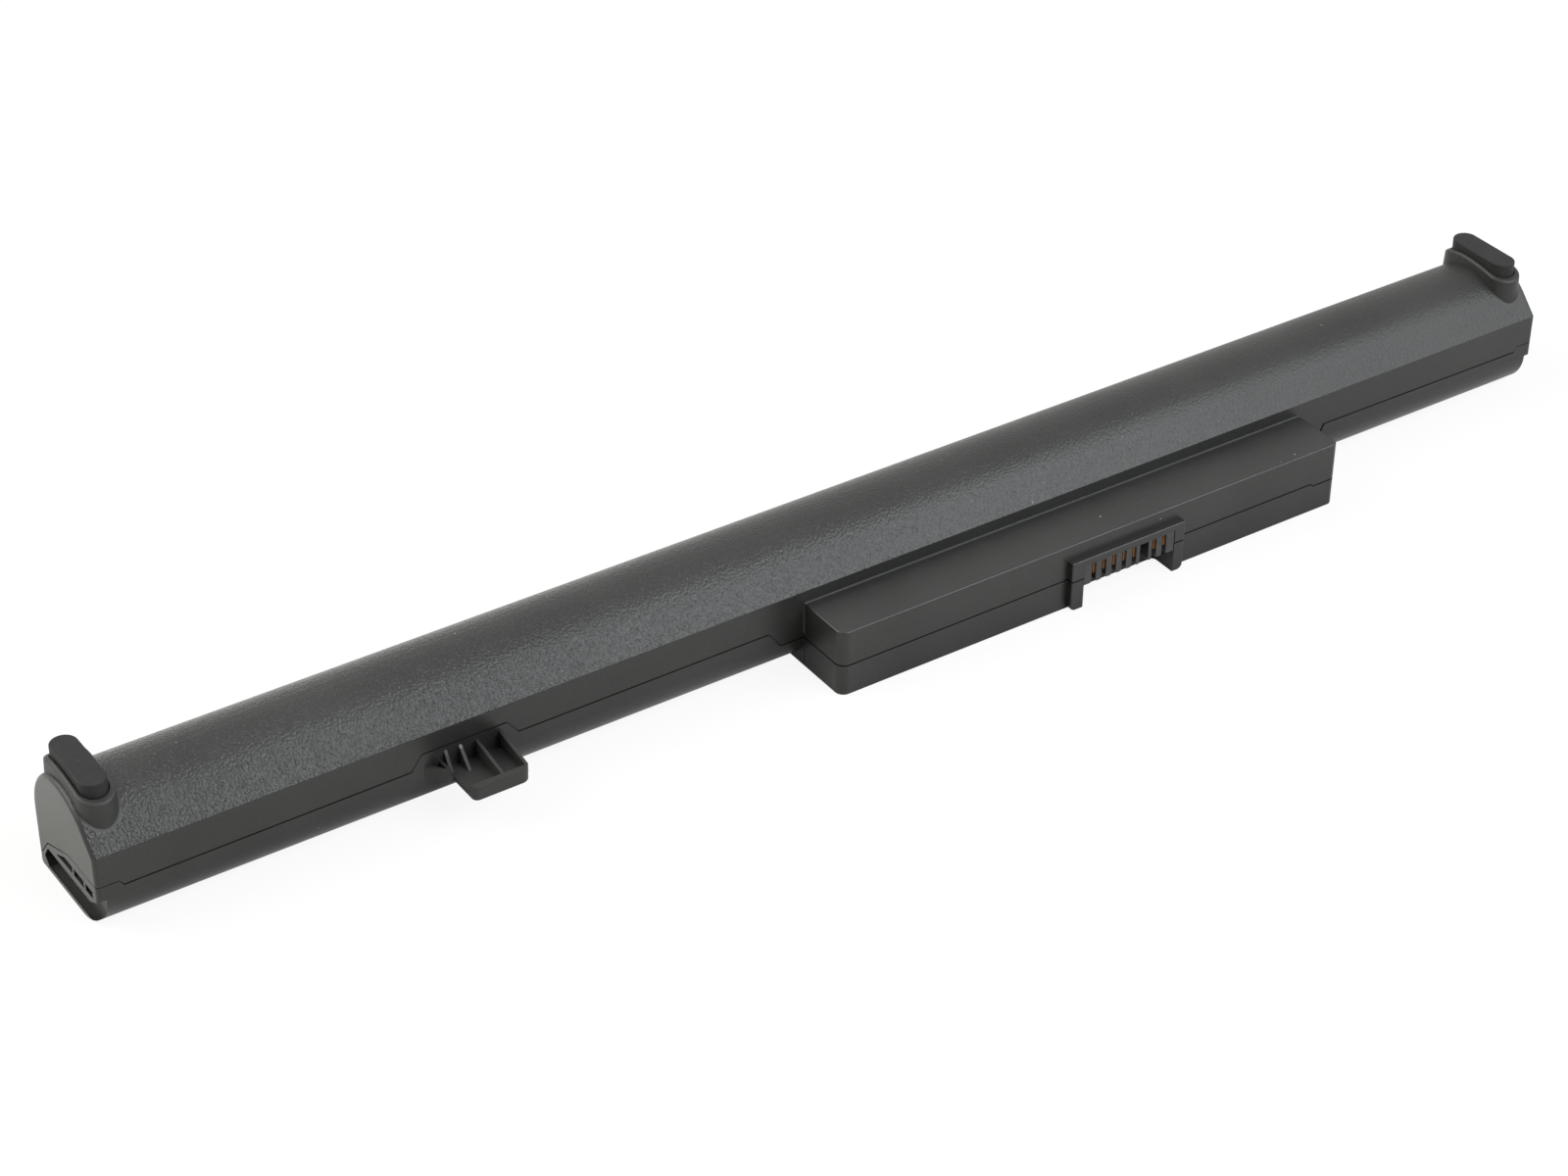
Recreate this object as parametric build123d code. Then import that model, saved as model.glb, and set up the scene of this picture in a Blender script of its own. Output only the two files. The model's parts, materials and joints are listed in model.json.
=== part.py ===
from build123d import *
import os
from math import asin, cos, radians, sin, sqrt, tan

# Bar-shaped laptop battery: four round cells in one line inside two moulded shells.
# X runs along the bar, -Y is the side with the connector box and the latch tab,
# +Z is the side with the rubber feet. The origin is on the flat base, midway along
# the bar and straight under the axis of the cells. All sizes are in millimetres.

# Bar section
cell_diameter = 18.2
cell_clearance = 0.1
shell_wall = 0.8
axis_height = 10.5
front_offset = 10.4
back_offset = 10.15
slope_angle = 47.0
belly_radius = 6.35
back_corner_radius = 1.0
end_wall = 2.2
end_edge_radius = 0.7

# Parting of the two shells
front_parting = 8.36
parting_sag = 0.53
end_parting = 8.8
end_parting_run = 3.5
step_run = 0.7
back_parting = 1.6
groove_width = 0.25
groove_depth = 0.4
end_groove_share = 0.5
box_groove_ratio = 1.2
end_knee_y = -1.3
end_slope_y = 6.4
end_slope_z = 5.8
end_drop_y = 8.2
end_drop_z = 3.7

# Connector box
box_start = 118.6
box_length = 99.3
box_reach = 10.0
box_top = 11.75
box_parting = 5.4
box_corner_radius = 1.6
box_right_radius = 1.1
box_edge_radius = 0.25
box_root_size = 0.2
box_root_sink = 0.3
box_step_lead = 4.3
box_step_run = 2.2
box_right_run = 1.7
box_jog_place = 5.4
box_jog_run = 0.5
box_jog_drop = 0.5

# Connector surround and bay
surround_start = 162.1
surround_width = 22.7
surround_reach = 1.2
surround_top = 9.05
left_leg = 2.4
right_leg = 2.0
leg_corner_radius = 1.0
bay_depth = 4.9
bay_corner_radius = 0.8
bay_top = 7.95
bay_wall = 1.0

# Latch tab
tab_start = 55.3
tab_width = 9.6
tab_reach = 8.6
tab_bottom = 6.1
tab_floor = 6.95
tab_top = 8.4
tab_root_top = 9.8
tab_front_wall = 1.1
tab_rib = 0.5
tab_rib_places = (-0.1, 2.35, 5.1)
gusset_top = 10.0
gusset_reaches = (1.7, 2.75)
tab_parting = 10.65
tab_step_lead = 3.7
tab_step_trail = 1.0
tab_step_run = 1.9
wing_lead = 3.5
wing_reach = 2.6
wing_gap = 0.9
wing_wall = 0.5
wing_top = 8.35
wing_floor = 7.3
tab_corner_radius = 0.9
tab_right_radius = 1.6

# Guide groove and pockets in each end face
groove_reach = 1.35
groove_low = 1.3
groove_high = 4.85
groove_flare_high = 6.4
groove_flare_run = 2.8
groove_back_y = 7.0
pocket_depth = 1.3
pocket_low = 6.1
pocket_high = 7.35
pocket_spans = ((-8.8, -6.45), (-5.9, -2.6), (-2.05, 0.4))
pocket_tip_y = 3.2
pocket_tip_z = 6.0

# Rubber feet and their bosses
foot_inset = 3.65
foot_width = 4.25
foot_length = 13.4
foot_y = 0.05
foot_top = 23.35
foot_edge_radius = 0.2
foot_clearance = 0.2
pocket_floor = 20.3
boss_width = 7.0
boss_length = 16.8
boss_taper = 3.0
boss_peak_y = 2.0
boss_peak = 22.15
boss_back_bend = 9.0
boss_back_turn = 60.0
boss_front_bend = 34.5
boss_front_turn = 20.0
boss_edge_radius = 0.45

# Cells
cell_length = 65.0
cell_gap = 0.8
cell_count = 4
foam_thickness = 1.95
cap_radius = 2.9
cap_height = 1.0
bead_inset = 3.2
bead_depth = 0.55
bead_half = 0.9
can_edge_radius = 0.5
shoulder_width = 2.2
ring_thickness = 0.2
ring_hole_radius = 3.6
strip_thickness = 0.15
strip_width = 7.0
strip_drop = 6.5
strip_tail = 1.5
strip_tail_height = 2.5
pad_width = 5.0
pad_length = 40.0

# Circuit board and its parts
board_thickness = 0.8
board_bottom = 8.6
board_front_gap = 0.3
board_back_gap = 0.6
board_end_gap = 0.6
post_size = 2.0
post_length = 5.0
post_places = (9.0, 38.5, 69.5, 90.0)
chip_size = (6.4, 5.0, 1.1)
gauge_size = (4.0, 4.0, 0.9)
transistor_size = (5.0, 4.0, 1.5)
fuse_size = (4.0, 3.0, 1.2)
resistor_size = (0.8, 1.6, 0.5)
resistor_pitch = 1.5
resistor_count = 6
chip_leg_count = 8
gauge_leg_count = 5
transistor_leg_count = 4
chip_place = 24.0
gauge_place = 32.5
transistor_trails = (25.3, 18.8)
fuse_trail = 12.8
resistor_place = 11.5

# Connector housing and contacts
slot_count = 8
before_key_count = 5
slot_start = 166.45
slot_pitch = 2.03
slot_width = 0.9
key_width = 1.75
slot_depth = 3.6
slot_top = 7.75
housing_bottom = 4.15
housing_clearance = 0.1
housing_recess = 0.08
finger_radius = 0.3
tine_thickness = 0.2
tine_inset = 0.5
tine_low = 5.5
tine_gap = 0.03
tail_size = 0.5
tail_height = 0.5

# Leads
lead_diameter = 1.3
lead_angle = 225.0
lead_clearance = 0.12
lead_pad_y = -12.5
lead_pad_inset = 3.2
lead_turn = 2.5
lead_end_turn = 1.2
tap_diameter = 0.7
tap_angle = 205.0
tap_pad_y = -11.0
tap_pad_place = 5.5
tap_pitch = 1.5
tap_lane_turn = 6.0
tap_start_y = -2.7
tap_start_z = 8.2
tap_low_z = 6.2
tap_turn = 1.0
thermistor_place = 27.0
thermistor_turn = 0.8
thermistor_diameter = 2.0
thermistor_length = 4.0

# Worked-out places
row_length = cell_count * cell_length + (cell_count - 1) * cell_gap
bar_length = row_length + 2 * (strip_thickness + foam_thickness + end_wall)
half = bar_length / 2
cell_radius = cell_diameter / 2
arch_radius = cell_radius + cell_clearance + shell_wall
front_y = -front_offset
box_left = -half + box_start
box_right = box_left + box_length
box_front = front_y - box_reach
surround_left = -half + surround_start
surround_right = surround_left + surround_width
surround_front = box_front - surround_reach
bay_left = surround_left + left_leg
bay_right = surround_right - right_leg
bay_back = surround_front + bay_depth
tab_left = -half + tab_start
tab_right = tab_left + tab_width
tab_front = front_y - tab_reach
far = 60.0


def block(x0, x1, y0, y1, z0, z1):
    centre = ((x0 + x1) / 2, (y0 + y1) / 2, (z0 + z1) / 2)
    return Pos(*centre) * Box(x1 - x0, y1 - y0, z1 - z0)


def along_x(points, x0, x1):
    face = Plane.YZ * Polygon(*points, align=None)
    return Pos(x0, 0, 0) * extrude(face, x1 - x0, dir=(1, 0, 0))


def along_y(points, y0, y1):
    face = Plane.XZ * Polygon(*points, align=None)
    return Pos(0, y0, 0) * extrude(face, y1 - y0, dir=(0, 1, 0))


def along_z(points, z0, z1):
    return Pos(0, 0, z0) * extrude(Polygon(*points, align=None), z1 - z0, dir=(0, 0, 1))


def write(name, shape):
    shape.label = name
    export_step(shape, os.path.join("parts", name + ".step"))


def bar_section(inset):
    # Flat base, rounded belly, upright front wall, slope, then an arch over the cells
    # that runs down into the back wall.
    radius = arch_radius - inset
    turn = radians(slope_angle)
    touch = (-radius * sin(turn), axis_height + radius * cos(turn))
    wall_y = front_y + inset
    ridge = (wall_y, touch[1] + (wall_y - touch[0]) * tan(turn))
    top = (0, axis_height + radius)
    shoulder = (radius, axis_height)
    foot_of_wall = (back_offset - inset, inset)
    belly = belly_radius - inset
    diagonal = belly * (1 - 1 / sqrt(2))
    mid_angle = turn / 2
    mid = (-radius * sin(mid_angle), axis_height + radius * cos(mid_angle))
    over = (radius / sqrt(2), axis_height + radius / sqrt(2))
    edge = [
        Line((wall_y + belly, inset), foot_of_wall),
        Line(foot_of_wall, shoulder),
        ThreePointArc(shoulder, over, top),
        ThreePointArc(top, mid, touch),
        Line(touch, ridge),
        Line(ridge, (wall_y, inset + belly)),
        ThreePointArc(
            (wall_y, inset + belly),
            (wall_y + diagonal, inset + diagonal),
            (wall_y + belly, inset),
        ),
    ]
    return make_face(Wire(edge))


def bar(inset, end_inset):
    run = bar_length - 2 * end_inset
    solid = Pos(-run / 2, 0, 0) * extrude(Plane.YZ * bar_section(inset), run)
    if inset == 0:
        corner = solid.edges().filter_by(Axis.X).group_by(Axis.Z)[0].sort_by(Axis.Y)[-1]
        solid = fillet(corner, back_corner_radius)
        ends = solid.faces().filter_by(Axis.X)
        solid = fillet(ends.edges(), end_edge_radius)
    return solid


def box(inset):
    z0 = inset
    z1 = box_top - inset
    solid = block(
        box_left + inset, box_right - inset, box_front + inset, front_y + belly_radius, z0, z1
    )
    left, right = solid.edges().filter_by(Axis.Z).group_by(Axis.Y)[0].sort_by(Axis.X)
    solid = fillet(left, box_corner_radius - inset)
    right = solid.edges().filter_by(Axis.Z).group_by(Axis.Y)[0].sort_by(Axis.X)[-1]
    solid = fillet(right, box_right_radius - inset)
    if inset == 0:
        rims = solid.edges().group_by(Axis.Z)
        outer = [e for e in list(rims[0]) + list(rims[-1]) if e.center().Y < front_y + 5]
        solid = fillet(outer, box_edge_radius)
    return solid


def box_root():
    # Narrow sloped root where the box meets the wall of the bar.
    r = box_root_size
    y = front_y
    low = box_top - box_root_sink
    profile = [(y - r, low), (y + r, low), (y + r, box_top + r), (y, box_top + r), (y - r, box_top)]
    root = along_x(profile, box_left, box_right)
    for x, side in ((box_left, -1), (box_right, 1)):
        corner = [(x + side * r, y), (x + side * r, y + r), (x - side * r, y + r), (x, y - r)]
        root += along_z(corner, belly_radius, low + box_root_sink / 2)
    return root


def oval(side, length, width, z):
    x = side * (half - foot_inset)
    return Pos(x, foot_y, z) * Rot(0, 0, 90) * SlotOverall(length, width)


def boss_rim(bend, turn):
    # Point on the rim arc of the given radius, turned from the peak by the given angle.
    y = boss_peak_y + bend * sin(radians(turn))
    return y, boss_peak - abs(bend) * (1 - cos(radians(turn)))


def boss(side):
    # Tapered oval boss whose rim follows two arcs that meet at its peak.
    solid = extrude(oval(side, boss_length, boss_width, axis_height), far, taper=boss_taper)
    peak = (boss_peak_y, boss_peak)
    front = boss_rim(-boss_front_bend, boss_front_turn)
    front_middle = boss_rim(-boss_front_bend, boss_front_turn / 2)
    back = boss_rim(boss_back_bend, boss_back_turn)
    back_middle = boss_rim(boss_back_bend, boss_back_turn / 2)
    outline = [
        ThreePointArc(front, front_middle, peak),
        ThreePointArc(peak, back_middle, back),
        Line(back, (back[0], far * 2)),
        Line((back[0], far * 2), (front[0], far * 2)),
        Line((front[0], far * 2), front),
    ]
    face = Plane.YZ * make_face(Wire(outline))
    solid = solid - Pos(-bar_length, 0, 0) * extrude(face, 2 * bar_length, dir=(1, 0, 0))
    rim = [e for e in solid.edges() if e.bounding_box().min.Z > axis_height + arch_radius / 2]
    rim = [e for e in rim if e.bounding_box().size.Y > 0.01]
    return fillet(rim, boss_edge_radius)


def foot_shape(side, grow, floor):
    return extrude(oval(side, foot_length + 2 * grow, foot_width + 2 * grow, floor), far)


def foot(side):
    solid = extrude(oval(side, foot_length, foot_width, pocket_floor), foot_top - pocket_floor)
    rim = solid.edges().group_by(Axis.Z)[-1]
    return fillet(rim, foot_edge_radius)


def parting_height(x):
    # The parting on the front wall bows down a little towards both ends.
    return front_parting - parting_sag * (x / half) ** 2


def lower_region(rise):
    # Everything below the parting, lifted by rise.
    tab_low = tab_left - tab_step_lead - tab_step_run
    tab_high = tab_right + tab_step_trail + tab_step_run
    box_low = box_left - box_step_lead - box_step_run
    box_high = box_right + box_step_lead + box_right_run - rise * box_groove_ratio
    box_jog = box_right - box_jog_place
    end = half - end_parting_run
    high = end_parting + rise * end_groove_share
    box_line = box_parting + rise
    jog_line = box_line - box_jog_drop
    front_points = [
        (-far * 3, -far),
        (-far * 3, high),
        (-end, high),
        (-end + step_run, parting_height(end) + rise),
        (tab_low, parting_height(tab_low) + rise),
        (tab_low + tab_step_run, tab_parting + rise),
        (tab_high - tab_step_run, tab_parting + rise),
        (tab_high, parting_height(tab_high) + rise),
        (box_low, parting_height(box_low) + rise),
        (box_low + box_step_run, box_line),
        (box_jog, box_line),
        (box_jog + box_jog_run, jog_line),
        (box_high - box_right_run, jog_line),
        (box_high, parting_height(box_high) + rise),
        (end - step_run, parting_height(end) + rise),
        (end, high),
        (far * 3, high),
        (far * 3, -far),
    ]
    middle = front_y + belly_radius
    back_points = [
        (middle, -far),
        (middle, high),
        (end_knee_y, high),
        (end_slope_y, end_slope_z + rise),
        (end_drop_y, end_drop_z + rise),
        (back_offset - 0.2, back_parting + rise),
        (far, back_parting + rise),
        (far, -far),
    ]
    return along_y(front_points, -far, middle) + along_x(back_points, -far * 3, far * 3)


def surround():
    solid = block(
        surround_left, surround_right, surround_front, box_front + shell_wall, 0, surround_top
    )
    low = solid.edges().filter_by(Axis.Y).group_by(Axis.Z)[0]
    solid = fillet(low, leg_corner_radius)
    face = solid.faces().sort_by(Axis.Y)[0]
    return fillet(face.edges(), 0.2)


def bay():
    room = block(bay_left, bay_right, -far, bay_back, -1, bay_top)
    back = room.edges().filter_by(Axis.Z).group_by(Axis.Y)[-1]
    return fillet(back, bay_corner_radius)


def tab():
    base = block(tab_left, tab_right, tab_front, front_y + 0.5, tab_bottom, tab_top)
    left = base.edges().filter_by(Axis.Z).group_by(Axis.Y)[0].sort_by(Axis.X)[0]
    base = fillet(left, tab_corner_radius)
    right = base.edges().filter_by(Axis.Z).group_by(Axis.Y)[0].sort_by(Axis.X)[-1]
    base = fillet(right, tab_right_radius)
    base = base - block(
        tab_left - 1,
        tab_right - tab_rib,
        tab_front + tab_front_wall,
        front_y,
        tab_floor,
        far,
    )
    wall_slope = [
        (front_y + 0.5, tab_floor - 0.2),
        (front_y + 0.5, tab_root_top),
        (front_y, tab_root_top),
        (tab_front + tab_front_wall, tab_top),
        (tab_front + tab_front_wall, tab_floor - 0.2),
    ]
    base += along_x(wall_slope, tab_right - tab_rib, tab_right)
    long_rib = tab_left + tab_rib_places[2]
    base += along_x(wall_slope, long_rib, long_rib + tab_rib)
    for place, reach in zip(tab_rib_places, gusset_reaches):
        gusset = [
            (front_y + 0.5, tab_floor - 0.2),
            (front_y + 0.5, gusset_top),
            (front_y, gusset_top),
            (front_y - reach, tab_floor),
            (front_y - reach, tab_floor - 0.2),
        ]
        left = tab_left + place
        base += along_x(gusset, left, left + tab_rib)
    tip_x = tab_left - wing_lead
    root = front_y + 0.5
    end_x = tab_left - wing_gap
    wing_front = front_y - wing_reach
    wing = along_z(
        [(tip_x, root), (tip_x, front_y), (end_x, wing_front), (end_x + wing_wall, wing_front),
         (end_x + wing_wall, root)],
        tab_bottom,
        wing_top,
    )
    dish = along_z(
        [(tip_x + 2 * wing_wall, front_y), (end_x, wing_front + wing_wall), (end_x, front_y)],
        wing_floor,
        far,
    )
    sill = block(end_x, tab_left + wing_gap, wing_front, root, tab_bottom, tab_floor)
    return base + (wing - dish) + sill


def end_cuts(side):
    # Guide groove with a flared mouth, and the row of pockets above it.
    face = side * half
    inner = side * (half - groove_reach)
    x0 = min(face, inner) - (1 if side < 0 else 0)
    x1 = max(face, inner) + (1 if side > 0 else 0)
    groove = along_x(
        [
            (-far, groove_low),
            (groove_back_y, groove_low),
            (groove_back_y + 1.2, groove_low + 1.3),
            (groove_back_y, groove_high - 0.4),
            (groove_back_y - 0.6, groove_high),
            (front_y + groove_flare_run, groove_high),
            (front_y, groove_flare_high),
            (-far, groove_flare_high),
        ],
        x0,
        x1,
    )
    inner = side * (half - pocket_depth)
    x0 = min(face, inner) - (1 if side < 0 else 0)
    x1 = max(face, inner) + (1 if side > 0 else 0)
    cuts = groove
    for low, high in pocket_spans[:2]:
        cuts += along_x(
            [(low, pocket_low), (high, pocket_low), (high, pocket_high), (low, pocket_high)], x0, x1
        )
    low, high = pocket_spans[2]
    cuts += along_x(
        [
            (low, pocket_low),
            (high, pocket_low),
            (pocket_tip_y, pocket_tip_z - 0.1),
            (pocket_tip_y, pocket_tip_z + 0.1),
            (high, pocket_high),
            (low, pocket_high),
        ],
        x0,
        x1,
    )
    return cuts


def cell_start(index):
    return -row_length / 2 + index * (cell_length + cell_gap)


def cell_axis(x):
    return Pos(x, 0, axis_height)


def cradle_ribs():
    # Corner fins that keep each cell from rolling towards the back wall.
    ribs = None
    for index in range(cell_count):
        for share in (0.25, 0.75):
            x = cell_start(index) + share * cell_length
            rib = block(
                x - 0.5,
                x + 0.5,
                cell_radius * 0.5,
                back_offset - shell_wall - 0.15,
                shell_wall - 0.1,
                back_parting + 3.0,
            )
            ribs = rib if ribs is None else ribs + rib
    bore = Rot(0, 90, 0) * Cylinder(cell_radius + cell_clearance, bar_length)
    return ribs - Pos(0, 0, axis_height) * bore


def board_posts():
    posts = None
    for place in post_places:
        x = box_left + place
        post = block(
            x - post_size / 2,
            x + post_size / 2,
            box_front + shell_wall + 1.0,
            box_front + shell_wall + 1.0 + post_length,
            shell_wall - 0.1,
            board_bottom,
        )
        posts = post if posts is None else posts + post
    return posts


def bay_walls():
    # Pocket for the plug: side walls and a back wall that rise to just under the board.
    front = box_front + shell_wall + 0.1
    solid = block(
        bay_left - bay_wall,
        bay_right + bay_wall,
        front,
        bay_back + bay_wall,
        0,
        board_bottom - 0.2,
    )
    low = block(
        bay_left - bay_wall,
        bay_right + bay_wall,
        box_front,
        bay_back + bay_wall,
        0,
        box_parting,
    )
    room = block(bay_left, bay_right, -far, bay_back, -1, far)
    return solid + low - room


def build_shells():
    outer = bar(0, 0) + box(0) + box_root() + surround()
    hollow = bar(shell_wall, end_wall) + box(shell_wall)
    skin = outer - hollow
    lower = skin & lower_region(0)
    upper = skin - lower_region(0)
    for side in (-1, 1):
        upper += boss(side) - bar(shell_wall, 0)
        upper -= foot_shape(side, foot_clearance, pocket_floor)
    core = bar(groove_depth, groove_depth) + box(groove_depth)
    core += block(
        surround_left + groove_depth,
        surround_right - groove_depth,
        surround_front + groove_depth,
        box_front + shell_wall,
        0,
        surround_top,
    )
    upper -= lower_region(groove_width) - core
    upper -= bay()
    for place in post_places:
        x = box_left + place
        upper += block(
            x - post_size / 2,
            x + post_size / 2,
            box_front + shell_wall + 1.0,
            box_front + shell_wall + 1.0 + post_length,
            board_bottom + board_thickness,
            box_top - shell_wall + 0.1,
        )
    lower += tab()
    lower += cradle_ribs()
    lower += board_posts()
    lower += bay_walls()
    lower -= bay()
    for side in (-1, 1):
        lower -= end_cuts(side)
    return upper, lower


def cell():
    # Steel can in its sleeve: crimped bead near the cap end, flat closed end.
    r = cell_radius
    x = cell_length
    shoulder = x - cap_height
    inner = r - shoulder_width
    outline = Polyline(
        (0, 0),
        (0, r - can_edge_radius),
        (can_edge_radius, r),
        (x - bead_inset - bead_half, r),
        (x - bead_inset - bead_half / 3, r - bead_depth),
        (x - bead_inset + bead_half / 3, r - bead_depth),
        (x - bead_inset + bead_half, r),
        (shoulder - can_edge_radius, r),
        (shoulder, r - can_edge_radius),
        (shoulder, inner),
        (shoulder - 0.4, inner - 0.4),
        (shoulder - 0.4, cap_radius + 0.5),
        (shoulder, cap_radius),
        (x, cap_radius),
        (x, 0),
        close=True,
    )
    return Pos(0, 0, 0) * revolve(Plane.XY * make_face(outline), Axis.X)


def insulator_ring(x):
    outer = cell_radius - can_edge_radius
    disc = Cylinder(outer, ring_thickness) - Cylinder(ring_hole_radius, ring_thickness * 2)
    return cell_axis(x + ring_thickness / 2) * Rot(0, 90, 0) * disc


def link(x):
    # Nickel strip welded to a cap, folded over and welded to the next can.
    t = strip_thickness
    w = strip_width / 2
    first = block(x, x + t, -w, w, axis_height - 3, axis_height + strip_drop)
    second = block(x + cell_gap - t, x + cell_gap, -w, w, axis_height - 3, axis_height + strip_drop)
    fold_z = axis_height + strip_drop
    outer = Cylinder(cell_gap / 2, strip_width)
    fold = outer - Cylinder(cell_gap / 2 - t, strip_width)
    fold = Pos(x + cell_gap / 2, 0, fold_z) * Rot(90, 0, 0) * fold
    fold &= block(x, x + cell_gap, -w, w, fold_z, far)
    return first + second + fold


def end_strip(x, side):
    t = strip_thickness
    w = strip_width / 2
    x0, x1 = sorted((x, x + side * t))
    low = axis_height - strip_drop
    plate = block(x0, x1, -w, w, low, axis_height + 4)
    tail = block(x0, x1, -w - strip_tail, -w, low, low + strip_tail_height)
    return plate + tail


def end_foam(side, contact_x):
    wall_x = side * (half - end_wall)
    x0, x1 = sorted((contact_x, wall_x))
    w = strip_width
    pad = block(x0, x1, -w / 2, w, axis_height - 5, axis_height + 5)
    return pad


def cell_pad(index):
    middle = cell_start(index) + cell_length / 2
    low = shell_wall
    high = axis_height - cell_radius
    pad = block(
        middle - pad_length / 2, middle + pad_length / 2, -pad_width / 2, pad_width / 2, low, far
    )
    bore = Rot(0, 90, 0) * Cylinder(cell_radius, bar_length)
    pad = pad & block(-half, half, -far, far, low, high + 0.4)
    return pad - Pos(0, 0, axis_height) * bore


def slot_x(index):
    return -half + slot_start + index * slot_pitch


housing_front = surround_front + housing_recess
slot_back = housing_front + slot_depth
contact_slots = [i for i in range(slot_count) if i != before_key_count]


def connector_housing():
    c = housing_clearance
    front = block(
        bay_left + c, bay_right - c, housing_front, bay_back - c, housing_bottom, bay_top - c
    )
    rear = block(
        bay_left + c,
        bay_right - c,
        box_front + shell_wall + c,
        bay_back - c,
        housing_bottom,
        board_bottom,
    )
    solid = front + rear
    for index in range(slot_count):
        width = key_width if index == before_key_count else slot_width
        x = slot_x(index)
        cut = block(x - width / 2, x + width / 2, -far, slot_back, -1, slot_top)
        solid -= cut
    tips = [e for e in solid.edges().filter_by(Axis.Y) if e.center().Z < housing_bottom + 0.01]
    inner_tips = [e for e in tips if e.center().Y < (housing_front + slot_back) / 2 + 0.1]
    solid = fillet(inner_tips, finger_radius)
    for index in contact_slots:
        x = slot_x(index)
        h = tail_size / 2 + tine_gap
        solid -= block(x - h, x + h, slot_back - 2 * h, slot_back, slot_top - 1, far)
    return solid


def contact(index):
    # Fork whose two tines lie along the walls of one slot, with a tail to the board.
    x = slot_x(index)
    outer = slot_width / 2 - tine_gap
    y0 = housing_front + tine_inset
    y1 = slot_back - tine_gap
    z1 = slot_top - tine_gap
    fork = block(x - outer, x + outer, y0, y1, tine_low, z1)
    inner = outer - tine_thickness
    fork -= block(x - inner, x + inner, y0 - 1, y1 - tine_thickness, tine_low - 1, far)
    t = tail_size / 2
    top = board_bottom + board_thickness + tail_height
    tail = block(x - t, x + t, y1 - tail_size, y1, tine_low + 0.5, top)
    return fork + tail


def circuit_board():
    y0 = box_front + shell_wall + board_front_gap
    y1 = -cell_radius - board_back_gap
    board = block(
        box_left + shell_wall + board_end_gap,
        box_right - shell_wall - board_end_gap,
        y0,
        y1,
        board_bottom,
        board_bottom + board_thickness,
    )
    corners = board.edges().filter_by(Axis.Z)
    board = fillet(corners, 0.8)
    y = slot_back - tine_gap - tail_size / 2
    for index in contact_slots:
        hole = tail_size / 2 + 0.05
        x = slot_x(index)
        board -= block(x - hole, x + hole, y - hole, y + hole, 0, far)
    return board


board_mid_y = (box_front + shell_wall + board_front_gap - cell_radius - board_back_gap) / 2


def board_part(place, size):
    x = box_left + place
    length, width, height = size
    return block(
        x - length / 2,
        x + length / 2,
        board_mid_y - width / 2,
        board_mid_y + width / 2,
        board_bottom - height,
        board_bottom,
    )


def leaded_part(place, size, legs):
    # Moulded body with flat legs along both long sides.
    length, width, height = size
    leg_run = 0.7
    body = board_part(place, (length, width - 2 * leg_run, height))
    pitch = (length - 0.8) / (legs - 1)
    for number in range(legs):
        x = box_left + place - length / 2 + 0.4 + number * pitch
        for side in (-1, 1):
            edge = board_mid_y + side * (width / 2 - leg_run)
            y0, y1 = sorted((edge, edge + side * leg_run))
            body += block(x - 0.2, x + 0.2, y0, y1, board_bottom - 0.25, board_bottom)
    return body


def resistors():
    group = []
    for number in range(resistor_count):
        group.append(board_part(resistor_place + number * resistor_pitch, resistor_size))
    return Compound(children=group)


def lead(points, radii, diameter):
    path = FilletPolyline(*points, radius=radii)
    start = Plane(origin=path @ 0, z_dir=path % 0)
    return sweep(start * Circle(diameter / 2), path=path)


def corner_place(angle, diameter):
    reach = cell_radius + lead_clearance + diameter / 2
    turn = radians(angle)
    return reach * cos(turn), axis_height + reach * sin(turn)


def power_lead(side):
    # From the end strip, along the lower front corner, then across and up to the board.
    y, z = corner_place(lead_angle, lead_diameter)
    x = side * (-cell_start(0) + strip_thickness + lead_diameter / 2)
    pad = box_left + lead_pad_inset if side < 0 else box_right - lead_pad_inset
    tail_y = -strip_width / 2 - strip_tail / 2
    points = [
        (x, tail_y, axis_height - strip_drop + strip_tail_height),
        (x, y, z),
        (pad, y, z),
        (pad, lead_pad_y, z),
        (pad, lead_pad_y, board_bottom),
    ]
    return lead(points, [lead_end_turn, lead_turn, lead_turn], lead_diameter)


def tap_lead(index):
    # Straight across to the board where the link is beside it, else along the front corner.
    x = cell_start(index) + cell_length - tap_diameter / 2
    low = box_left + tap_pad_place + index * tap_pitch
    high = box_right - tap_pad_place - (cell_count - 2 - index) * tap_pitch
    pad = min(max(x, low), high)
    start = (x, tap_start_y, tap_start_z)
    if abs(pad - x) < 3 * tap_turn:
        points = [start, (x, tap_pad_y, tap_low_z), (x, tap_pad_y, board_bottom)]
        return lead(points, [tap_turn], tap_diameter)
    y, z = corner_place(tap_angle + index * tap_lane_turn, tap_diameter)
    points = [start, (x, y, z), (pad, y, z), (pad, tap_pad_y, z), (pad, tap_pad_y, board_bottom)]
    return lead(points, [tap_turn] * 3, tap_diameter)


def thermistor():
    # Bead against the side of a cell, with its sleeved lead up to the board.
    reach = cell_radius + lead_clearance + thermistor_diameter / 2
    turn = radians(tap_angle)
    y = reach * cos(turn)
    z = axis_height + reach * sin(turn)
    x = box_left + thermistor_place
    bead = Pos(x + thermistor_length / 2, y, z) * Rot(0, 90, 0)
    bead = bead * Cylinder(thermistor_diameter / 2, thermistor_length)
    out = x - 3 * thermistor_turn
    points = [(x, y, z), (out, y, z), (out, tap_pad_y, z), (out, tap_pad_y, board_bottom)]
    return bead + lead(points, [thermistor_turn] * 2, tap_diameter)


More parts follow.
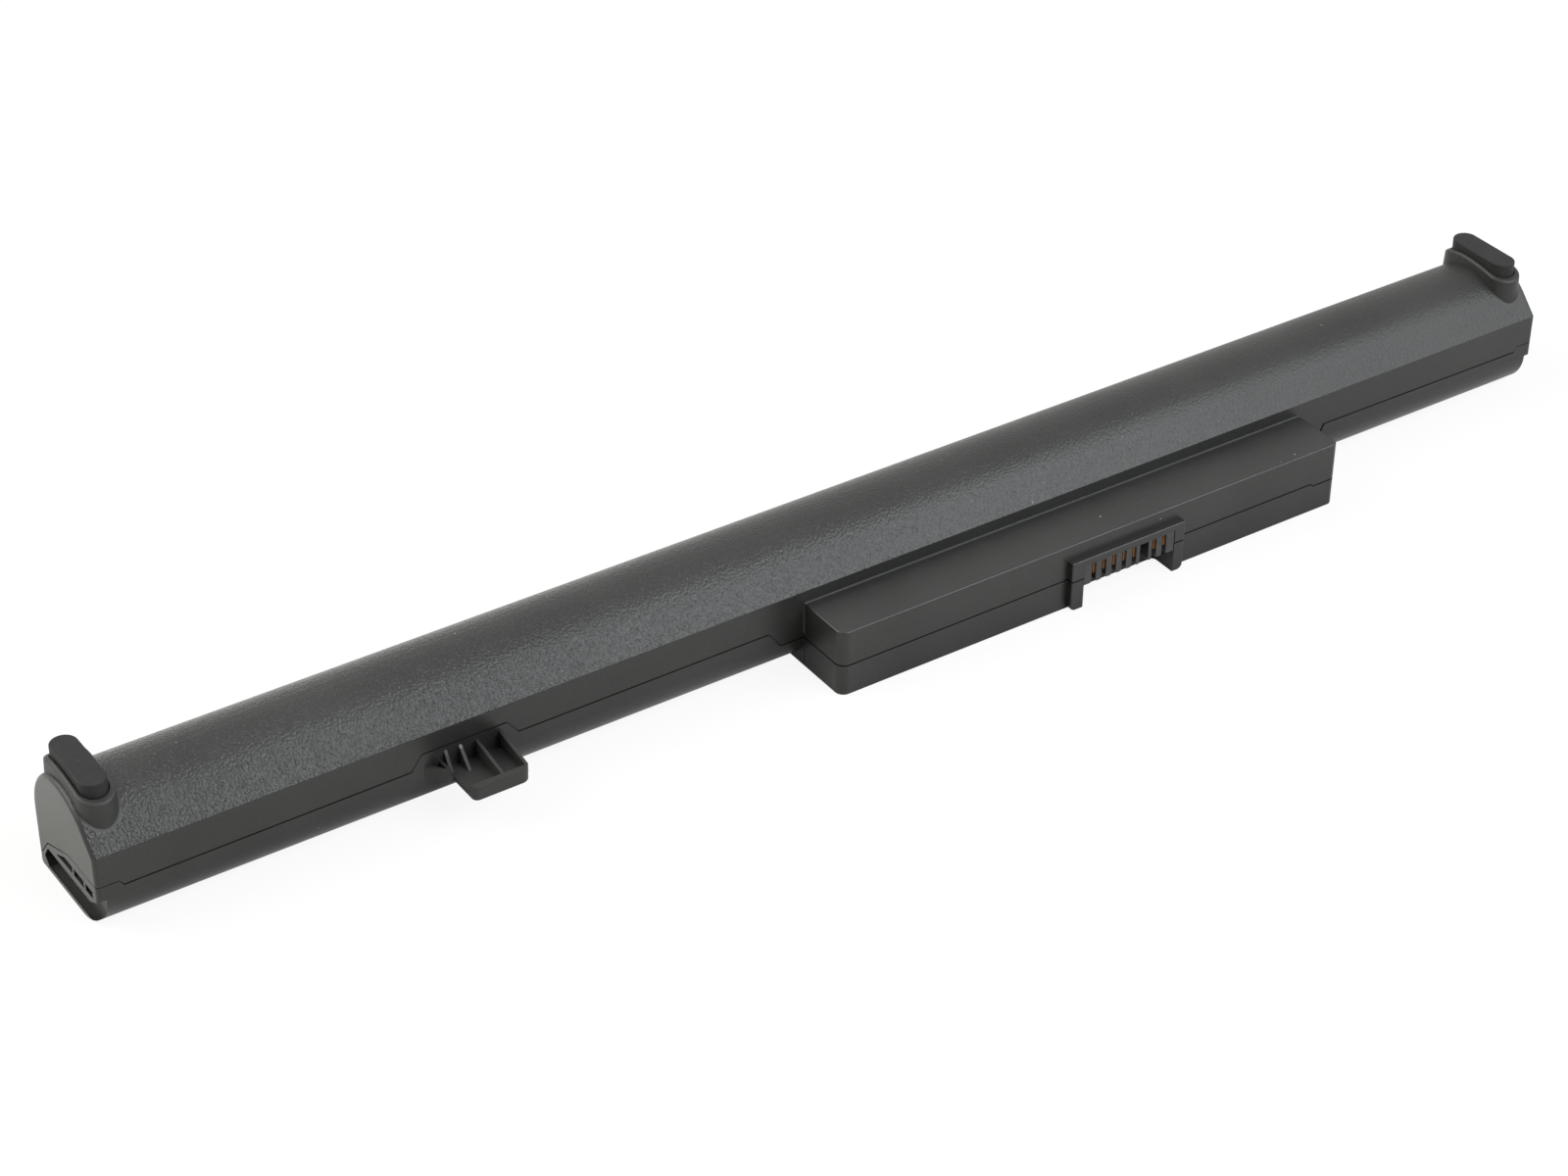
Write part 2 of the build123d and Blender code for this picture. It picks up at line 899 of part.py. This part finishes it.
def main():
    os.makedirs("parts", exist_ok=True)
    upper, lower = build_shells()
    write("upper_shell", upper)
    write("lower_shell", lower)
    write("foot_left", foot(-1))
    write("foot_right", foot(1))
    can = cell()
    for index in range(cell_count):
        x = cell_start(index)
        write(f"cell_{index + 1}", cell_axis(x) * can)
        write(f"insulator_ring_{index + 1}", insulator_ring(x + cell_length - cap_height))
        write(f"cell_pad_{index + 1}", cell_pad(index))
    for index in range(cell_count - 1):
        write(f"cell_link_{index + 1}", link(cell_start(index) + cell_length))
    first = cell_start(0)
    last = cell_start(cell_count - 1) + cell_length
    write("end_strip_negative", end_strip(first, -1))
    write("end_strip_positive", end_strip(last, 1))
    write("end_foam_left", end_foam(-1, first - strip_thickness))
    write("end_foam_right", end_foam(1, last + strip_thickness))
    write("circuit_board", circuit_board())
    write("connector_housing", connector_housing())
    for number, index in enumerate(contact_slots, 1):
        write(f"contact_{number}", contact(index))
    write("control_chip", leaded_part(chip_place, chip_size, chip_leg_count))
    write("gauge_chip", leaded_part(gauge_place, gauge_size, gauge_leg_count))
    for number, trail in enumerate(transistor_trails, 1):
        part = leaded_part(box_length - trail, transistor_size, transistor_leg_count)
        write(f"transistor_{number}", part)
    write("fuse", board_part(box_length - fuse_trail, fuse_size))
    write("resistors", resistors())
    write("power_lead_negative", power_lead(-1))
    write("power_lead_positive", power_lead(1))
    for index in range(cell_count - 1):
        write(f"tap_lead_{index + 1}", tap_lead(index))
    write("thermistor", thermistor())


main()
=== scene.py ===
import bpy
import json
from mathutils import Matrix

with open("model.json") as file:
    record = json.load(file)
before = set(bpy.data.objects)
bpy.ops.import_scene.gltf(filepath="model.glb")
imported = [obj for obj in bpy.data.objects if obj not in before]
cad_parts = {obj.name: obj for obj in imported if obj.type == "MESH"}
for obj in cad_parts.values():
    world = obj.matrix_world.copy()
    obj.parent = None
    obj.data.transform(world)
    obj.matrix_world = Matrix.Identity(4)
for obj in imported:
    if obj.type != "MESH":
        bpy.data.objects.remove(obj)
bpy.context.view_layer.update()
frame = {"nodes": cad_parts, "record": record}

import json
from math import cos, radians, sin
import bpy
from mathutils import Matrix, Vector

nodes = frame["nodes"]
mm = 0.001  # sizes are written in millimetres, and the scene is in metres
print("frame loaded:", len(nodes), "nodes")


class Wire:
    # wraps one socket, so that sums on it are written as Python expressions

    def __init__(self, shader, socket):
        self.shader = shader
        self.socket = socket

    def maths(self, operation, *values):
        settings = {"operation": operation}
        return self.shader.add("ShaderNodeMath", settings, dict(enumerate(values)))[0]

    def __add__(self, other):
        return self.maths("ADD", self, other)

    def __radd__(self, other):
        return self.maths("ADD", other, self)

    def __sub__(self, other):
        return self.maths("SUBTRACT", self, other)

    def __rsub__(self, other):
        return self.maths("SUBTRACT", other, self)

    def __mul__(self, other):
        return self.maths("MULTIPLY", self, other)

    def __rmul__(self, other):
        return self.maths("MULTIPLY", other, self)

    def __pow__(self, other):
        return self.maths("POWER", self, other)

    def __abs__(self):
        return self.maths("ABSOLUTE", self)

    def atLeast(self, other):
        return self.maths("MAXIMUM", self, other)

    def ramp(self, low, high):
        # 0 below low, 1 above high, smooth between them
        settings = {"interpolation_type": "SMOOTHSTEP", "data_type": "FLOAT"}
        values = {"Value": self, "From Min": low, "From Max": high}
        return self.shader.add("ShaderNodeMapRange", settings, values)["Result"]


class Shader:
    # the nodes of one material, or of the world

    def __init__(self, owner):
        owner.use_nodes = True
        self.owner = owner
        self.tree = owner.node_tree
        self.tree.nodes.clear()

    def add(self, kind, settings, values):
        # settings come first, because some of them change the sockets
        node = self.tree.nodes.new(kind)
        for key, value in settings.items():
            setattr(node, key, value)
        for key, value in values.items():
            if isinstance(value, Wire):
                self.tree.links.new(value.socket, node.inputs[key])
            else:
                node.inputs[key].default_value = value
        found = {}
        for number, socket in enumerate(node.outputs):
            found[number] = Wire(self, socket)
            if socket.enabled:
                found.setdefault(socket.name, found[number])
        return found

    def rays(self):
        # one share for what the camera sees, one for what a mirror or clear material sees
        path = self.add("ShaderNodeLightPath", {}, {})
        return path["Is Camera Ray"], path["Is Glossy Ray"].atLeast(path["Is Transmission Ray"])

    def blend(self, share, first, second):
        return self.add("ShaderNodeMixShader", {}, {0: share, 1: first, 2: second})[0]

    def close(self, kind, surface):
        self.add(kind, {}, {"Surface": surface})
        return self.owner


class Finish(Shader):
    # a material of the part, drawn on Object coordinates

    def __init__(self, name):
        super().__init__(bpy.data.materials.new(name))
        self.place = self.add("ShaderNodeTexCoord", {}, {})["Object"]

    def axes(self):
        parts = self.add("ShaderNodeSeparateXYZ", {}, {"Vector": self.place})
        return parts["X"], parts["Y"], parts["Z"]

    def stretched(self, scale):
        return self.add("ShaderNodeMapping", {}, {"Vector": self.place, "Scale": scale})[0]

    def noise(self, size, detail=2.0, rough=0.5, vector=None):
        # size is the width of one blotch
        values = {"Vector": vector or self.place, "Scale": 1 / size}
        values.update({"Detail": detail, "Roughness": rough})
        return self.add("ShaderNodeTexNoise", {}, values)[0]

    def cellsOf(self, size, feature="F1", **more):
        values = {"Vector": self.place, "Scale": 1 / size, **more}
        return self.add("ShaderNodeTexVoronoi", {"feature": feature}, values)["Distance"]

    def mix(self, share, first, second):
        # sockets 6 and 7 are the two colours of a Mix node, and its output 2 is the colour
        settings = {"data_type": "RGBA", "clamp_factor": True}
        values = {0: share}
        for number, colour in ((6, first), (7, second)):
            values[number] = (*colour, 1) if isinstance(colour, tuple) else colour
        return self.add("ShaderNodeMix", settings, values)[2]

    def bump(self, height, depth, **more):
        values = {"Height": height, "Distance": depth, **more}
        return self.add("ShaderNodeBump", {}, values)[0]

    def surface(self, **sockets):
        # an underscore here is a space in the socket's name
        named = {key.replace("_", " "): value for key, value in sockets.items()}
        shader = self.add("ShaderNodeBsdfPrincipled", {}, named)[0]
        return self.close("ShaderNodeOutputMaterial", shader)


shellLook = {
    "colour": (0.0108, 0.0106, 0.0099),
    "lift": (0.0162, 0.016, 0.015),  # colour of the lighter blotches
    "blotchSize": 18 * mm,
    "blotchRange": (0.3, 0.75),
    "ior": 1.41,
    "softEdge": 0.3 * mm,  # how far one finish runs into the next
    # fine matt on the walls
    "matSize": 0.27 * mm,
    "matDepth": 0.018 * mm,
    "matRange": (0.35, 0.7),
    "matLight": 0.2,
    "wallRoughness": 0.31,
    "polishSize": 9 * mm,
    "polishSpread": 0.08,
    # grain on the round cover, between the ridge and the back, and not on the end faces
    "ridge": 13.65 * mm,
    "back": 9.3 * mm,
    "endFace": 134.9 * mm,
    "grainSize": 0.45 * mm,
    "grainDepth": 0.2 * mm,
    "grainMiddle": 0.8,
    "grainRange": (-0.1, 0.3),
    "grainGlintShare": 0.8,
    "pebbleShare": 0.6,
    "pebbleSoftness": 0.35,
    "pebbleSpread": 0.9,
    # painted glint: colour of the lighter tops of the grain, which stand in for glints; the
    # same colour gives the walls their lighter fine mottle
    "glintAndMottle": (0.031, 0.031, 0.0308),  # colour of the tops
    "wrinkleSize": 0.36 * mm,
    "wrinkleShare": 0.8,
    "coverRoughness": 0.2,
    # the grain is weaker and duller towards the right end
    "halfLength": 135 * mm,
    "grainFade": 0.58,
    "farRoughness": 0.27,
    # bosses of the feet
    "bossMiddle": 131.85 * mm,
    "bossStraight": 4.9 * mm,
    "bossHalf": 3.3 * mm,
    "bossRoughness": 0.5,
    # specks of dust, in drifts
    "dust": (0.28, 0.27, 0.25),
    "dustShare": 0.6,
    "dustRoughness": 0.2,
    "speckSpacing": 4.5 * mm,
    "speckRange": (0.025, 0.05),
    "driftSize": 30 * mm,
    "driftRange": (0.45, 0.65),
    # painted shade: a dark line painted into the crease where the connector box meets the front
    # wall, with a rougher finish there
    "root": -10.53 * mm,
    "rootReach": 0.09 * mm,
    "rootFade": 0.135 * mm,
    "rootStart": (-17.5 * mm, -17.4 * mm),
    "rootShare": 0.7,
    "rootRoughness": 0.65,
    # colour of the painted shade in that crease
    "creaseShade": (0.004, 0.004, 0.004),
    # latch tab
    "tabEnd": (-60 * mm, -59 * mm),
    "tabFace": (-10.9 * mm, -10.7 * mm),
    "tabRoughness": 0.6,
}


def shellPlastic():
    look = shellLook
    finish = Finish("shellPlastic")
    x, y, z = finish.axes()

    # where each finish lies
    front = z.ramp(look["ridge"], look["ridge"] + look["softEdge"])
    back = y.ramp(look["back"], look["back"] + look["softEdge"])
    inEnds = 1 - abs(x).ramp(look["endFace"], look["endFace"] + look["softEdge"])
    alongBoss = (abs(y) - look["bossStraight"]).atLeast(0.0)
    acrossBoss = abs(abs(x) - look["bossMiddle"])
    fromBoss = (alongBoss * alongBoss + acrossBoss * acrossBoss) ** 0.5
    offBoss = fromBoss.ramp(look["bossHalf"], look["bossHalf"] + look["softEdge"])
    cover = front.atLeast(back) * offBoss * inEnds
    toRight = x.ramp(-look["halfLength"], look["halfLength"])
    nearRoot = 1 - abs(y - look["root"]).ramp(look["rootReach"], look["rootFade"])
    nearRoot = nearRoot * x.ramp(*look["rootStart"]) * (1 - cover)
    onTab = (1 - x.ramp(*look["tabEnd"])) * (1 - y.ramp(*look["tabFace"]))

    # relief: fine matt everywhere, with the grain on top of it
    fine = finish.noise(look["matSize"], detail=2.0, rough=0.6)
    pebbles = finish.cellsOf(
        look["grainSize"],
        "SMOOTH_F1",
        Smoothness=look["pebbleSoftness"],
        Randomness=look["pebbleSpread"],
    )
    wrinkles = finish.noise(look["wrinkleSize"], detail=3.0, rough=0.6)
    grain = (1 - pebbles) * look["pebbleShare"] + wrinkles * look["wrinkleShare"]
    grain = grain - look["grainMiddle"]
    grained = cover * (1 - toRight * look["grainFade"])
    relief = finish.bump(fine, look["matDepth"])
    relief = finish.bump(grain, look["grainDepth"], Strength=grained, Normal=relief)

    # colour
    blotches = finish.noise(look["blotchSize"], detail=3.0, rough=0.55)
    tone = finish.mix(blotches.ramp(*look["blotchRange"]), look["colour"], look["lift"])
    # painted glint: the tops of the grain on the cover are made lighter, and the walls get a
    # lighter fine mottle
    light = grain.ramp(*look["grainRange"]) * grained * look["grainGlintShare"]
    light = light + fine.ramp(*look["matRange"]) * (1 - cover) * look["matLight"]
    tone = finish.mix(light, tone, look["glintAndMottle"])
    specks = finish.cellsOf(look["speckSpacing"], Randomness=1.0)
    drifts = finish.noise(look["driftSize"], detail=1.0)
    dusty = (1 - specks.ramp(*look["speckRange"])) * drifts.ramp(*look["driftRange"])
    tone = finish.mix(dusty * look["dustShare"], tone, look["dust"])
    # painted shade along the crease where the connector box meets the front wall
    tone = finish.mix(nearRoot * look["rootShare"], tone, look["creaseShade"])

    # gloss
    polish = finish.noise(look["polishSize"], detail=3.0, rough=0.6)
    coverRough = look["coverRoughness"] + toRight * look["farRoughness"]
    rough = look["wallRoughness"] + cover * (coverRough - look["wallRoughness"])
    rough = rough + (polish - 0.5) * look["polishSpread"] + dusty * look["dustRoughness"]
    rough = rough + nearRoot * (look["rootRoughness"] - look["wallRoughness"])
    rough = rough + onTab * (look["tabRoughness"] - look["wallRoughness"])
    rough = rough + (1 - offBoss) * (look["bossRoughness"] - look["wallRoughness"])
    return finish.surface(Base_Color=tone, Roughness=rough, Normal=relief, IOR=look["ior"])


rubberLook = {
    "dark": (0.008, 0.008, 0.008),
    "light": (0.013, 0.013, 0.0127),
    "blotchSize": 2.5 * mm,
    "blotchRange": (0.3, 0.7),
    "grainSize": 0.25 * mm,
    "grainDepth": 0.012 * mm,
    "lint": (0.2, 0.2, 0.19),
    "lintSpacing": 1.6 * mm,
    "lintRange": (0.04, 0.08),
    "lintShare": 0.3,
    "roughness": 0.6,
    "roughSpread": 0.15,
    "ior": 1.35,
}


def footRubber():
    look = rubberLook
    finish = Finish("footRubber")
    fine = finish.noise(look["grainSize"], detail=3.0, rough=0.65)
    blotches = finish.noise(look["blotchSize"], detail=3.0, rough=0.6)
    tone = finish.mix(blotches.ramp(*look["blotchRange"]), look["dark"], look["light"])
    lint = 1 - finish.cellsOf(look["lintSpacing"]).ramp(*look["lintRange"])
    tone = finish.mix(lint * look["lintShare"], tone, look["lint"])
    rough = look["roughness"] + blotches * look["roughSpread"]
    relief = finish.bump(fine, look["grainDepth"])
    return finish.surface(Base_Color=tone, Roughness=rough, Normal=relief, IOR=look["ior"])


copperLook = {
    "bright": (0.95, 0.52, 0.22),
    "tarnished": (0.7, 0.34, 0.14),
    "tarnishSize": 1.1 * mm,
    "tarnishRange": (0.35, 0.75),
    "brushSize": 0.3 * mm,
    "brushStretch": (1.0, 0.12, 1.0),
    "brushDepth": 0.004 * mm,
    "roughness": 0.3,
    "roughSpread": 0.2,
}


def contactCopper():
    look = copperLook
    finish = Finish("contactCopper")
    along = finish.stretched(look["brushStretch"])
    brushed = finish.noise(look["brushSize"], detail=3.0, rough=0.6, vector=along)
    tarnish = finish.noise(look["tarnishSize"], detail=3.0, rough=0.6)
    tone = finish.mix(tarnish.ramp(*look["tarnishRange"]), look["bright"], look["tarnished"])
    rough = look["roughness"] + tarnish * look["roughSpread"]
    relief = finish.bump(brushed, look["brushDepth"])
    return finish.surface(Base_Color=tone, Metallic=1.0, Roughness=rough, Normal=relief)


nickelLook = {
    "dark": (0.55, 0.53, 0.5),
    "light": (0.68, 0.66, 0.62),
    "brushSize": 0.4 * mm,
    "brushStretch": (1.0, 1.0, 0.05),
    "brushRange": (0.3, 0.7),
    "brushDepth": 0.004 * mm,
    "roughness": 0.28,
    "roughSpread": 0.15,
}


def nickelStrip():
    look = nickelLook
    finish = Finish("nickelStrip")
    along = finish.stretched(look["brushStretch"])
    brushed = finish.noise(look["brushSize"], detail=4.0, rough=0.6, vector=along)
    tone = finish.mix(brushed.ramp(*look["brushRange"]), look["dark"], look["light"])
    rough = look["roughness"] + brushed * look["roughSpread"]
    relief = finish.bump(brushed, look["brushDepth"])
    return finish.surface(Base_Color=tone, Metallic=1.0, Roughness=rough, Normal=relief)


boardLook = {
    "lacquer": (0.02, 0.12, 0.05),
    "tracks": (0.05, 0.22, 0.09),
    "trackSpacing": 2.2 * mm,
    "trackSpread": 0.2,
    "trackRange": (0.08, 0.14),
    "weaveSize": 1.6 * mm,
    "weaveShare": 0.3,
    "depth": 0.01 * mm,
    "roughness": 0.25,
    "roughSpread": 0.1,
}


def boardLaminate():
    look = boardLook
    finish = Finish("boardLaminate")
    values = {"Vector": finish.place, "Scale": 1 / look["weaveSize"]}
    weave = finish.add("ShaderNodeTexBrick", {}, values)["Fac"]
    gaps = finish.cellsOf(
        look["trackSpacing"],
        "DISTANCE_TO_EDGE",
        Randomness=look["trackSpread"],
    ).ramp(*look["trackRange"])
    tone = finish.mix(gaps, look["tracks"], look["lacquer"])
    rough = look["roughness"] + weave * look["roughSpread"]
    relief = finish.bump(weave * look["weaveShare"] + gaps, look["depth"])
    return finish.surface(Base_Color=tone, Roughness=rough, Normal=relief)


# name, two colours, size and depth of the grain in millimetres, roughness
smallLooks = {
    "housing_plastic": (
        "housingPlastic", (0.012, 0.012, 0.012), (0.02, 0.02, 0.02), 0.15, 0.004, 0.32,
    ),
    "ring_paper": ("ringPaper", (0.62, 0.58, 0.48), (0.75, 0.72, 0.62), 0.2, 0.015, 0.75),
    "foam_pad": ("foamPad", (0.03, 0.03, 0.03), (0.09, 0.09, 0.09), 0.35, 0.08, 0.85),
    "cell_sleeve": ("cellSleeve", (0.04, 0.2, 0.25), (0.05, 0.27, 0.32), 0.6, 0.006, 0.2),
    "lead_black": ("leadBlack", (0.015, 0.015, 0.015), (0.03, 0.03, 0.03), 0.2, 0.006, 0.4),
    "lead_red": ("leadRed", (0.4, 0.02, 0.02), (0.52, 0.035, 0.03), 0.2, 0.006, 0.4),
    "lead_white": ("leadWhite", (0.65, 0.65, 0.62), (0.78, 0.78, 0.75), 0.2, 0.006, 0.4),
    "fuse_ceramic": ("fuseCeramic", (0.6, 0.6, 0.56), (0.72, 0.72, 0.68), 0.15, 0.006, 0.5),
    "resistor_ceramic": (
        "resistorCeramic", (0.05, 0.05, 0.06), (0.1, 0.1, 0.11), 0.15, 0.006, 0.35,
    ),
    "chip_plastic": ("chipPlastic", (0.02, 0.02, 0.02), (0.04, 0.04, 0.04), 0.12, 0.01, 0.55),
}

smallFinish = {
    "blotchRatio": 12,  # how much wider a blotch is than the grain
    "blotchRange": (0.3, 0.7),
    "roughSpread": 0.1,
}


def plainFinish(name, dark, light, size, depth, roughness):
    look = smallFinish
    finish = Finish(name)
    fine = finish.noise(size, detail=3.0, rough=0.6)
    blotches = finish.noise(size * look["blotchRatio"], detail=2.0, rough=0.5)
    tone = finish.mix(blotches.ramp(*look["blotchRange"]), dark, light)
    rough = roughness + fine * look["roughSpread"]
    return finish.surface(Base_Color=tone, Roughness=rough, Normal=finish.bump(fine, depth))


looks = {
    "shell_plastic": shellPlastic(),
    "foot_rubber": footRubber(),
    "contact_copper": contactCopper(),
    "nickel_strip": nickelStrip(),
    "board_laminate": boardLaminate(),
}
for slotName, (name, dark, light, size, depth, roughness) in smallLooks.items():
    looks[slotName] = plainFinish(name, dark, light, size * mm, depth * mm, roughness)
print("materials:", len(looks))

for part in frame["record"]["subparts"]:
    piece = nodes[part["node"]]
    piece.data.materials.clear()
    piece.data.materials.append(looks[part["material_slot"]])
print("materials given to every node")


studio = {
    "white": (1.0, 1.0, 1.0, 1.0),
    "fill": 0.2,
    "floorShade": (0.78, 0.78, 0.75, 1.0),
    "cameraGlow": 0.9,  # how white the camera sees the floor, which keeps the shadow
    "mirrorGlow": 0.18,
    "floorHalf": 3.0,
}


def makeWorld():
    world = bpy.data.worlds.new("studioWorld")
    bpy.context.scene.world = world
    sky = Shader(world)
    glow = {"Color": studio["white"], "Strength": 1.0}
    white = sky.add("ShaderNodeBackground", {}, glow)[0]
    fill = sky.add("ShaderNodeBackground", {}, {**glow, "Strength": studio["fill"]})[0]
    seen, mirrored = sky.rays()
    shown = sky.blend(mirrored, fill, white)
    sky.close("ShaderNodeOutputWorld", sky.blend(seen, shown, white))


def makeFloor():
    half = studio["floorHalf"]
    mesh = bpy.data.meshes.new("floor")
    corners = [(-half, -half, 0), (half, -half, 0), (half, half, 0), (-half, half, 0)]
    mesh.from_pydata(corners, [], [(0, 1, 2, 3)])
    floor = bpy.data.objects.new("floor", mesh)
    bpy.context.scene.collection.objects.link(floor)
    pale = Shader(bpy.data.materials.new("paleFloor"))
    paint = pale.add("ShaderNodeBsdfDiffuse", {}, {"Color": studio["floorShade"]})[0]
    glow = pale.add("ShaderNodeEmission", {}, {"Color": studio["white"]})[0]
    seen, mirrored = pale.rays()
    forCamera = pale.blend(studio["cameraGlow"], paint, glow)
    forMirror = pale.blend(studio["mirrorGlow"], paint, glow)
    shown = pale.blend(seen, pale.blend(mirrored, paint, forMirror), forCamera)
    mesh.materials.append(pale.close("ShaderNodeOutputMaterial", shown))


lamps = {
    "leftLamp": {
        "at": (-0.8, 0.5, 0.72), "wide": 1.1, "tall": 0.6, "power": 15.5,
        "tint": (1.0, 1.0, 0.95),
    },
    "frontLamp": {
        "at": (0.5, -0.78, 0.78), "wide": 1.2, "tall": 0.8, "power": 19.5,
        "tint": (0.93, 0.965, 1.0),
    },
    "overLamp": {
        "at": (-0.1, 0.3, 1.1), "wide": 1.2, "tall": 0.8, "power": 3.5,
        "tint": (1.0, 1.0, 1.0),
    },
}
lampTarget = Vector((0, 0, 0.01))


def makeLamps():
    for name, lamp in lamps.items():
        light = bpy.data.lights.new(name, "AREA")
        light.shape = "RECTANGLE"
        light.size = lamp["wide"]
        light.size_y = lamp["tall"]
        light.energy = lamp["power"]
        light.color = lamp["tint"]
        holder = bpy.data.objects.new(name, light)
        bpy.context.scene.collection.objects.link(holder)
        holder.location = lamp["at"]
        aim = lampTarget - holder.location
        holder.rotation_euler = aim.to_track_quat("-Z", "Y").to_euler()


view = {
    "azimuth": radians(-34.1592),
    "elevation": radians(34.5197),
    "roll": radians(0.4213),
    "distance": 547.574 * mm,
    "target": Vector((-20.723, -10.4, 16.145)) * mm,
    "focal": 3672.76,  # in pixels of the photograph
    "imageWidth": 1600,
    "sensor": 36.0,
    "near": 0.01,
    "far": 20,
}


def makeCamera():
    az, el, roll = view["azimuth"], view["elevation"], view["roll"]
    back = Vector((sin(az) * cos(el), -cos(az) * cos(el), sin(el)))
    right = Vector((cos(az), sin(az), 0))
    up = back.cross(right)
    side = right * cos(roll) + up * sin(roll)
    top = up * cos(roll) - right * sin(roll)
    camera = bpy.data.cameras.new("photoCamera")
    camera.sensor_width = view["sensor"]
    camera.lens = view["focal"] / view["imageWidth"] * view["sensor"]
    camera.clip_start = view["near"]
    camera.clip_end = view["far"]
    holder = bpy.data.objects.new("photoCamera", camera)
    bpy.context.scene.collection.objects.link(holder)
    turn = Matrix((side, top, back)).transposed().to_4x4()
    holder.matrix_world = Matrix.Translation(view["target"] + back * view["distance"]) @ turn
    bpy.context.scene.camera = holder


makeWorld()
makeFloor()
makeLamps()
makeCamera()
bpy.context.scene.view_settings.view_transform = "Standard"
print("studio and camera placed")
